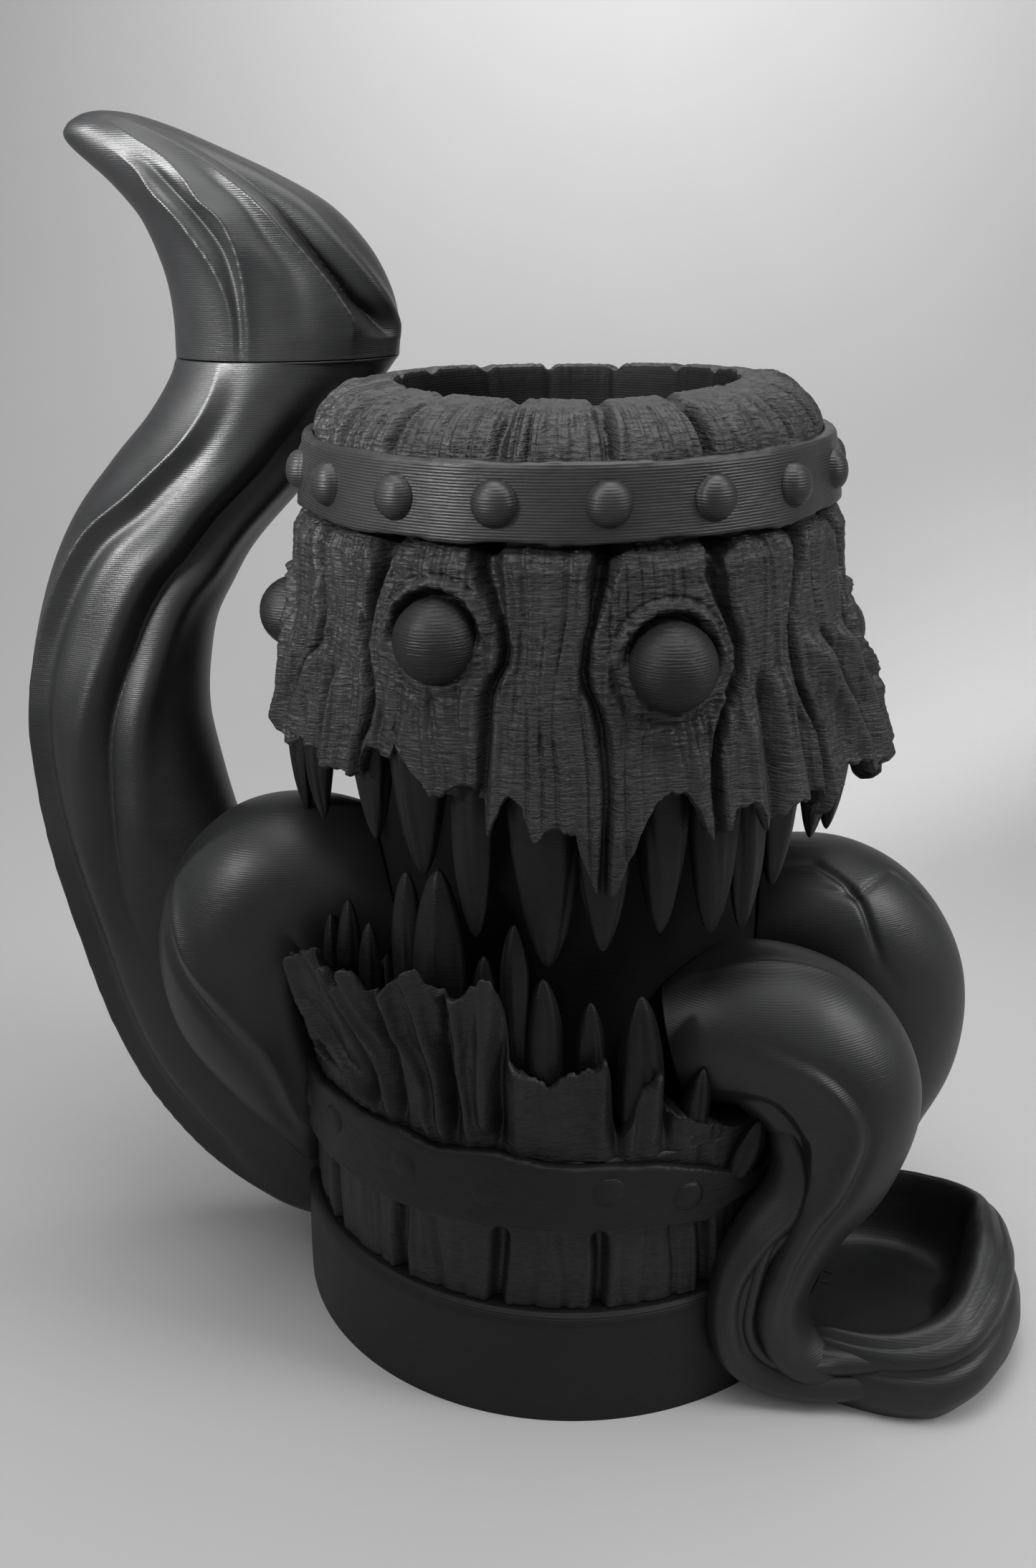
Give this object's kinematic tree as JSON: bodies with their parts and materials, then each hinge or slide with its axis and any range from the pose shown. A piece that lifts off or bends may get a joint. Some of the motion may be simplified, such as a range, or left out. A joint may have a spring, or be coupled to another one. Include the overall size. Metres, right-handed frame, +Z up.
{
  "type": "dice tower",
  "caption": "Dice tower in the shape of a toothed wooden tankard, with an open top, a tongue-shaped handle with a lift-off tip and a side dice tray.",
  "frame": {"origin": "on the axis of the barrel, in the plane the tower stands on", "axes": "+Z up along the barrel's axis, -Y the side the face and mouth look to, +X towards the dice tray"},
  "size_m": [0.2087, 0.1198, 0.2402],
  "materials": {
    "staves": "matte black print with a wood grain relief",
    "hoops": "matte black print, smooth",
    "teeth": "satin black print",
    "eyes": "matte black print",
    "tongue": "satin black print, smooth",
    "inner": "matte black print",
    "base": "satin black print, smooth"
  },
  "bodies": {
    "tower": {"base_ring": "base", "floor_disc": "base", "lower_barrel": "staves", "lower_hoop": "hoops", "lower_hoop_rivets": "hoops", "lower_jaw": "staves", "lower_teeth": "teeth", "throat_tube": "inner", "upper_baffle": "inner", "middle_baffle": "inner", "lower_baffle": "inner", "exit_ramp": "inner", "upper_head": "staves", "upper_hoop": "hoops", "upper_hoop_rivets": "hoops", "eye_front_left": "eyes", "eye_front_right": "eyes", "eye_side_left": "eyes", "eye_side_right": "eyes", "upper_fangs": "teeth", "tongue_left": "tongue", "tongue_right_rear": "tongue", "tongue_right_front": "tongue", "dice_tray": "tongue", "handle": "tongue"},
    "horn": {"horn_tip": "tongue", "horn_peg": "tongue"}
  },
  "joints": [
    {"name": "horn_lift", "type": "slide", "parent": "tower", "child": "horn", "axis": [0, 0, 1], "range_m": [0, 0.03]}
  ]
}
